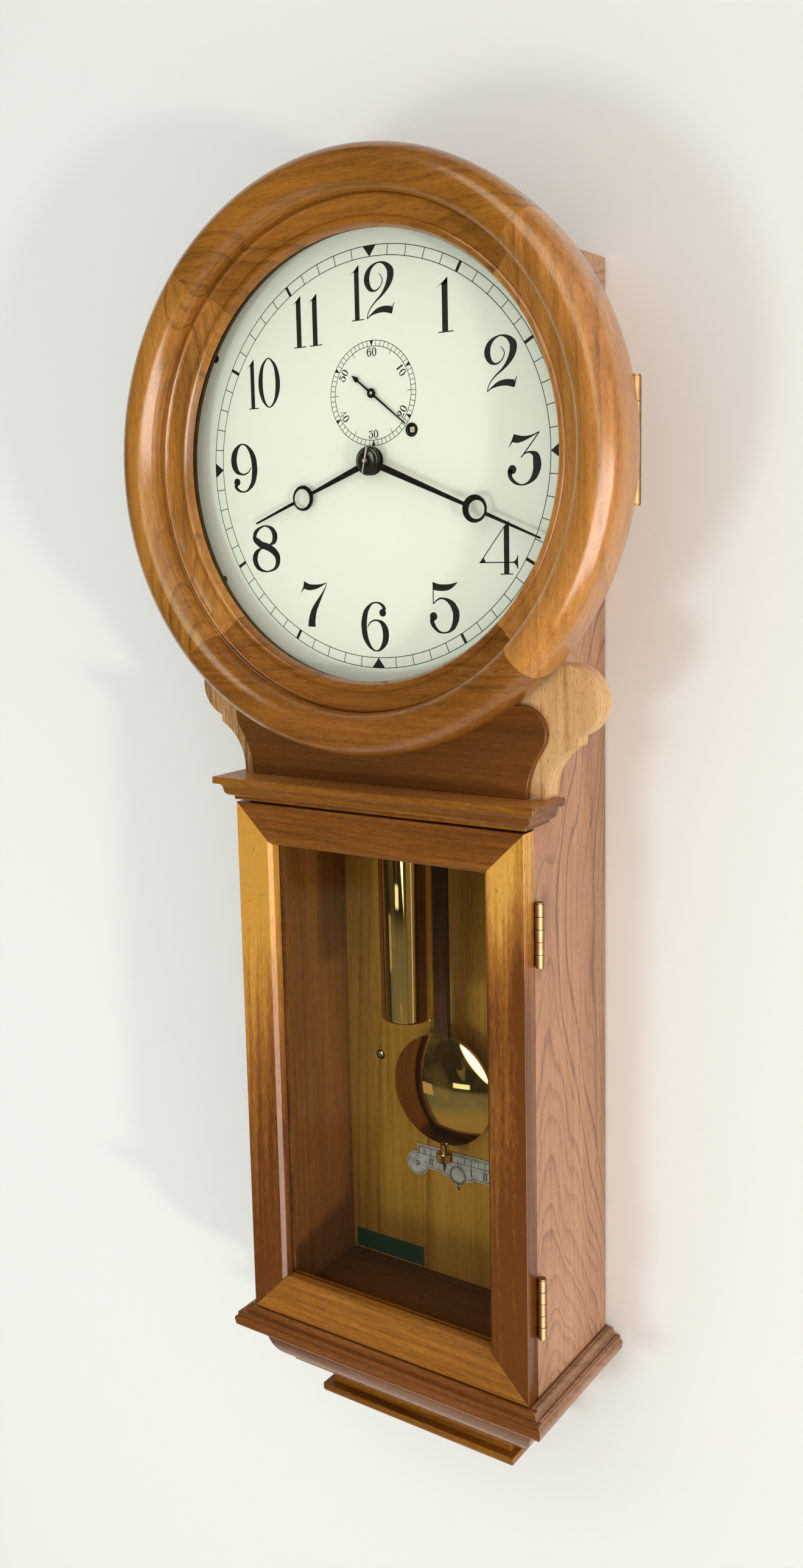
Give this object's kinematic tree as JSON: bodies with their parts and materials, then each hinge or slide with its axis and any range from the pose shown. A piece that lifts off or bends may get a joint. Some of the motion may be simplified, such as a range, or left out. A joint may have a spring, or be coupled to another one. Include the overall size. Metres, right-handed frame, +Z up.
{
  "type": "regulator clock",
  "caption": "Weight-driven wall regulator clock with a round moulded wooden bezel, a glazed hinged trunk door, a brass weight, a pendulum and a stepped base.",
  "frame": {"origin": "centre of the hanging hole on the back face of the backboard, on the wall", "axes": "+Z up, +Y into the wall, +X to the right seen from the front, so the dial faces -Y"},
  "size_m": [0.4068, 0.158, 0.9529],
  "materials": {
    "back_wood": "satin",
    "side_wood": "satin",
    "dark_wood": "satin",
    "board_wood": "satin",
    "apron_wood": "semi-gloss",
    "case_wood": "semi-gloss",
    "base_wood": "semi-gloss",
    "door_wood": "semi-gloss",
    "bezel_wood": "polished",
    "rod_wood": "satin",
    "brass": "satin",
    "polished_brass": "polished",
    "aged_brass": "aged",
    "steel": "bright",
    "black_paint": "semi-gloss",
    "dial_enamel": "semi-gloss",
    "line": "plain",
    "glass": "clear"
  },
  "bodies": {
    "case": {"backboard": "back_wood", "side_left": "side_wood", "side_right": "side_wood", "case_top": "dark_wood", "case_floor": "dark_wood", "head_board": "board_wood", "apron_board": "apron_wood", "cornice": "case_wood", "base_moulding": "base_wood", "base_tier": "base_wood", "base_drop": "base_wood", "seat_board": "dark_wood", "beat_plate": "brass", "dial_plate": "dial_enamel", "dial_screws": "steel", "winding_ferrule": "black_paint", "hinge_leaves": "aged_brass", "hinge_pins": "aged_brass", "front_plate": "brass", "back_plate": "brass", "plate_pillars": "brass", "suspension_cock": "brass", "line_hook": "steel", "line_drum_run": "line", "line_hook_run": "line", "catch_stud": "aged_brass"},
    "door": {"door_stile_left": "door_wood", "door_stile_right": "door_wood", "door_rail_top": "door_wood", "door_rail_bottom": "door_wood", "door_glass": "glass", "glass_beads": "dark_wood", "door_fittings": "aged_brass"},
    "catch": {"door_catch": "aged_brass"},
    "bezel": {"bezel_ring": "bezel_wood", "bezel_glass": "glass", "bezel_glass_ring": "brass", "bezel_hinge_flap": "aged_brass"},
    "centre": {"centre_wheel": "brass", "cannon_pinion": "steel", "minute_hand": "black_paint", "hand_cap": "black_paint"},
    "hour": {"hour_wheel": "brass", "hour_hand": "black_paint"},
    "minute_work": {"minute_wheel": "brass"},
    "third": {"third_wheel": "brass"},
    "escape": {"escape_wheel": "brass", "seconds_hand": "black_paint"},
    "great": {"great_wheel": "brass"},
    "click": {"click": "steel"},
    "drum": {"winding_drum": "brass"},
    "anchor": {"pallets": "steel"},
    "pendulum": {"suspension_spring": "steel", "pendulum_rod": "rod_wood", "pendulum_bob": "brass"},
    "nut": {"rating_nut": "brass"},
    "weight": {"weight_shell": "polished_brass", "weight_stirrup": "brass", "line_bight": "line"},
    "pulley": {"weight_pulley": "brass"}
  },
  "joints": [
    {"name": "bezel_hinge", "type": "hinge", "parent": "case", "child": "bezel", "pos_m": [0.1955, -0.1085, -0.109], "axis": [0, 0, 1], "range_deg": [0, 110]},
    {"name": "door_hinge", "type": "hinge", "parent": "case", "child": "door", "pos_m": [0.1275, -0.111, -0.557], "axis": [0, 0, 1], "range_deg": [0, 110]},
    {"name": "hook_lift", "type": "hinge", "parent": "case", "child": "catch", "pos_m": [-0.1254, -0.1017, -0.557], "axis": [-1, 0, 0], "range_deg": [0, 75]},
    {"name": "minute_spin", "type": "hinge", "parent": "case", "child": "centre", "pos_m": [0, -0.092, -0.112], "axis": [0, 1, 0], "continuous": true},
    {"name": "hour_spin", "type": "hinge", "parent": "case", "child": "hour", "pos_m": [0, -0.104, -0.112], "axis": [0, 1, 0], "continuous": true},
    {"name": "minute_wheel_spin", "type": "hinge", "parent": "case", "child": "minute_work", "pos_m": [0, -0.099, -0.13], "axis": [0, 1, 0], "continuous": true},
    {"name": "third_spin", "type": "hinge", "parent": "case", "child": "third", "pos_m": [-0.01574, -0.083, -0.08788], "axis": [0, 1, 0], "continuous": true},
    {"name": "seconds_spin", "type": "hinge", "parent": "case", "child": "escape", "pos_m": [0, -0.075, -0.0657], "axis": [0, 1, 0], "continuous": true},
    {"name": "great_spin", "type": "hinge", "parent": "case", "child": "great", "pos_m": [0.0318, -0.062, -0.0924], "axis": [0, 1, 0], "continuous": true},
    {"name": "click_lift", "type": "hinge", "parent": "great", "child": "click", "pos_m": [0.04131, -0.065, -0.06928], "axis": [0, -1, 0], "range_deg": [0, 12], "stiffness_Nm_per_rad": 0.02, "springref_deg": -2.86},
    {"name": "drum_spin", "type": "hinge", "parent": "case", "child": "drum", "pos_m": [0.0318, -0.08, -0.0924], "axis": [0, 1, 0], "range_deg": [-1650, 900]},
    {"name": "anchor_swing", "type": "hinge", "parent": "case", "child": "anchor", "pos_m": [0, -0.07, -0.0406], "axis": [0, 1, 0], "range_deg": [-2.5, 2.5]},
    {"name": "pendulum_swing", "type": "hinge", "parent": "case", "child": "pendulum", "pos_m": [0, -0.0335, -0.0406], "axis": [0, 1, 0], "range_deg": [-2.5, 2.5]},
    {"name": "rating_nut_turn", "type": "hinge", "parent": "pendulum", "child": "nut", "pos_m": [0, -0.0335, -0.653], "axis": [0, 0, 1], "continuous": true},
    {"name": "weight_fall", "type": "slide", "parent": "case", "child": "weight", "axis": [0, 0, -1], "range_m": [-0.124, 0.226], "deforming": ["line_drum_run", "line_hook_run"]},
    {"name": "pulley_spin", "type": "hinge", "parent": "weight", "child": "pulley", "pos_m": [0, -0.082, -0.344], "axis": [0, 1, 0], "range_deg": [-500, 900]}
  ],
  "couplings": [
    {"joint": "hour_spin", "follows": "minute_spin", "ratio": 0.083333},
    {"joint": "minute_wheel_spin", "follows": "minute_spin", "ratio": -0.33333},
    {"joint": "third_spin", "follows": "minute_spin", "ratio": -8},
    {"joint": "seconds_spin", "follows": "minute_spin", "ratio": 60},
    {"joint": "great_spin", "follows": "minute_spin", "ratio": -0.15},
    {"joint": "drum_spin", "follows": "weight_fall", "rad_per_m": -125},
    {"joint": "pulley_spin", "follows": "weight_fall", "rad_per_m": 63.291},
    {"joint": "anchor_swing", "follows": "pendulum_swing", "ratio": 1}
  ]
}
